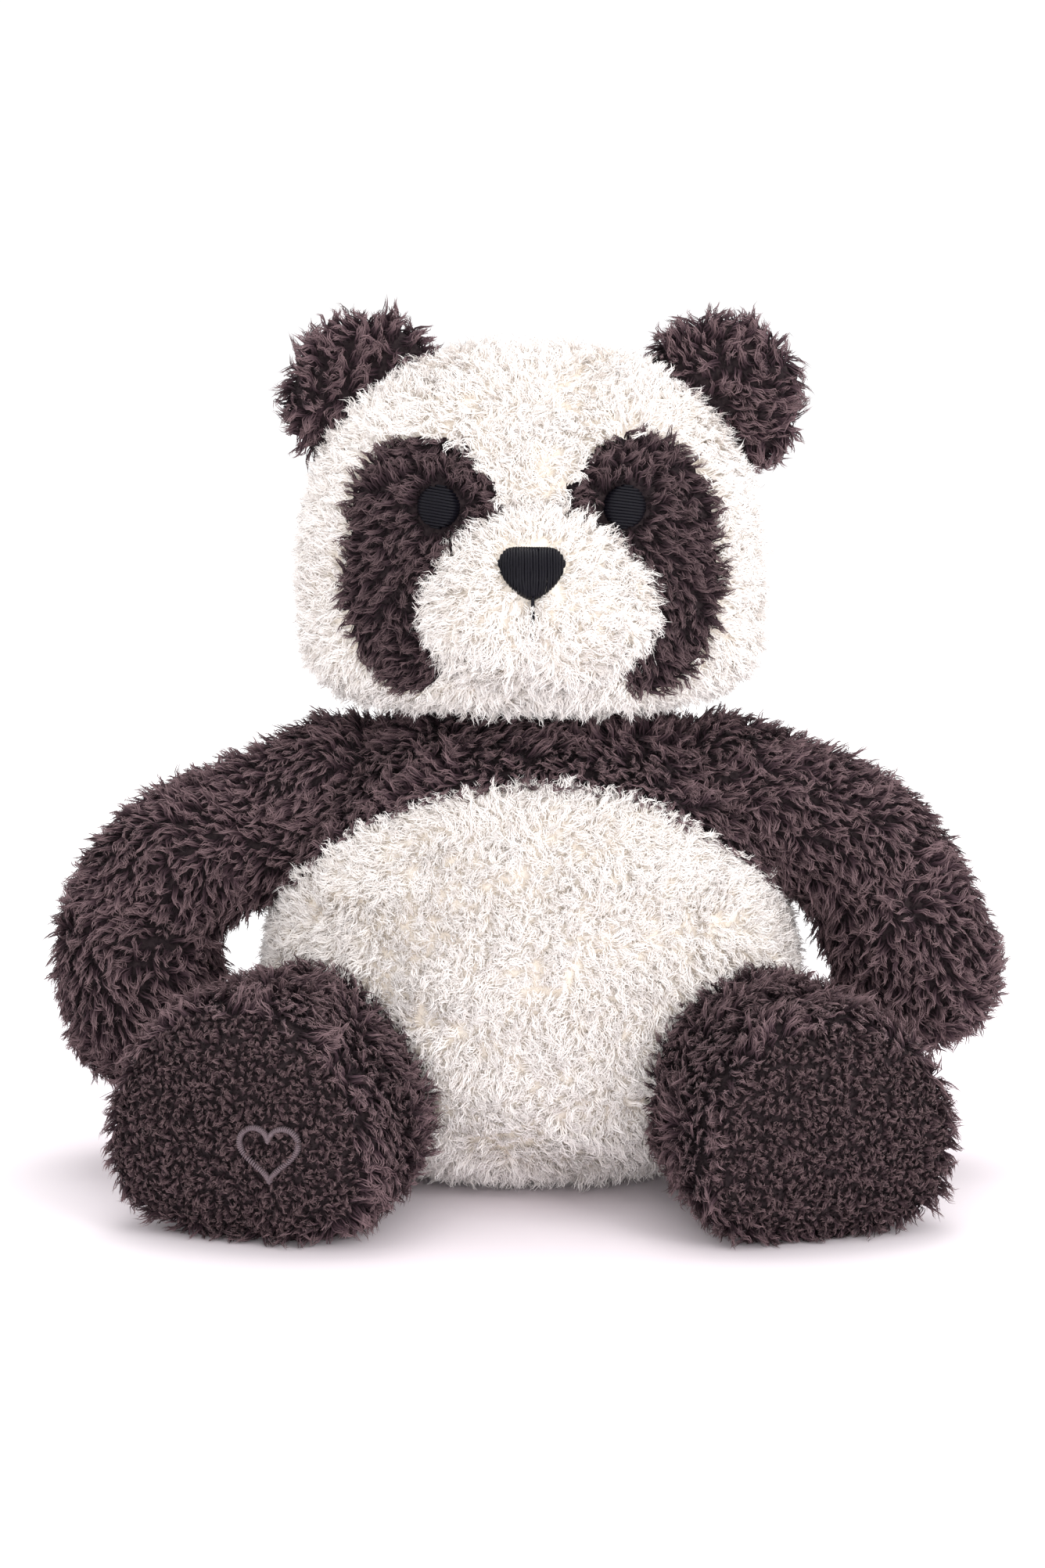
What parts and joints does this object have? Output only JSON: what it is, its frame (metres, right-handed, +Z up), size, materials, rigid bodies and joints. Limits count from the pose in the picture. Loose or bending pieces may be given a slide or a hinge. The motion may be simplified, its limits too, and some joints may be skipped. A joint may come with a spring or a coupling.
{
  "type": "plush panda",
  "caption": "Seated soft panda toy with a turning head, arms that lift and legs that splay, in short curly pile over stuffing.",
  "frame": {"origin": "middle of the flat face that the panda sits on, on its plane of symmetry", "axes": "+Z up, -Y towards the panda's face, +X towards its left-hand side"},
  "size_m": [0.2876, 0.1861, 0.254],
  "materials": {
    "white_pile": "matte",
    "dark_pile": "matte",
    "dark_sole": "matte",
    "black_thread": "satin",
    "mauve_thread": "satin",
    "white_thread": "satin",
    "polyester_filling": "matte",
    "lining_cloth": "matte",
    "plastic_pellets": "satin"
  },
  "bodies": {
    "torso": {"torso_stuffing": "polyester_filling", "chest_yoke": "dark_pile", "back_yoke": "dark_pile", "belly_panel": "white_pile", "back_panel": "white_pile", "seat_panel": "white_pile", "closing_seam": "white_thread", "pellet_pouch": "lining_cloth", "pellets": "plastic_pellets"},
    "neck": {"neck_stuffing": "polyester_filling"},
    "head": {"head_stuffing": "polyester_filling", "face_cover": "white_pile", "head_back_cover": "white_pile", "eye_patch_left": "dark_pile", "eye_patch_right": "dark_pile", "muzzle_cover": "white_pile", "muzzle_stuffing": "polyester_filling", "eye_left": "black_thread", "eye_right": "black_thread", "nose": "black_thread", "mouth_stitch": "black_thread", "ear_front_left": "dark_pile", "ear_back_left": "dark_pile", "ear_wadding_left": "polyester_filling", "ear_front_right": "dark_pile", "ear_back_right": "dark_pile", "ear_wadding_right": "polyester_filling"},
    "arm_left": {"arm_front_left": "dark_pile", "arm_back_left": "dark_pile", "arm_stuffing_left": "polyester_filling"},
    "arm_right": {"arm_front_right": "dark_pile", "arm_back_right": "dark_pile", "arm_stuffing_right": "polyester_filling"},
    "leg_left": {"leg_cover_left": "dark_pile", "sole_left": "dark_sole", "leg_stuffing_left": "polyester_filling"},
    "leg_right": {"leg_cover_right": "dark_pile", "sole_right": "dark_sole", "leg_stuffing_right": "polyester_filling", "foot_motif": "mauve_thread"}
  },
  "joints": [
    {"name": "head_turn", "type": "hinge", "parent": "torso", "child": "neck", "pos_m": [0, 0, 0.126], "axis": [0, 0, 1], "range_deg": [-45, 45], "stiffness_Nm_per_rad": 1.5},
    {"name": "head_nod", "type": "hinge", "parent": "neck", "child": "head", "pos_m": [0, 0, 0.126], "axis": [1, 0, 0], "range_deg": [-10, 10], "stiffness_Nm_per_rad": 6},
    {"name": "arm_left_lift", "type": "hinge", "parent": "torso", "child": "arm_left", "pos_m": [0.057, 0, 0.112], "axis": [0, -1, 0], "range_deg": [0, 45], "stiffness_Nm_per_rad": 1},
    {"name": "arm_right_lift", "type": "hinge", "parent": "torso", "child": "arm_right", "pos_m": [-0.057, 0, 0.112], "axis": [0, 1, 0], "range_deg": [0, 45], "stiffness_Nm_per_rad": 1},
    {"name": "leg_left_splay", "type": "hinge", "parent": "torso", "child": "leg_left", "pos_m": [0.05677, -0.02607, 0.0365], "axis": [0, 0, 1], "range_deg": [0, 12], "stiffness_Nm_per_rad": 2},
    {"name": "leg_right_splay", "type": "hinge", "parent": "torso", "child": "leg_right", "pos_m": [-0.05677, -0.02607, 0.0365], "axis": [0, 0, -1], "range_deg": [0, 12], "stiffness_Nm_per_rad": 2}
  ]
}
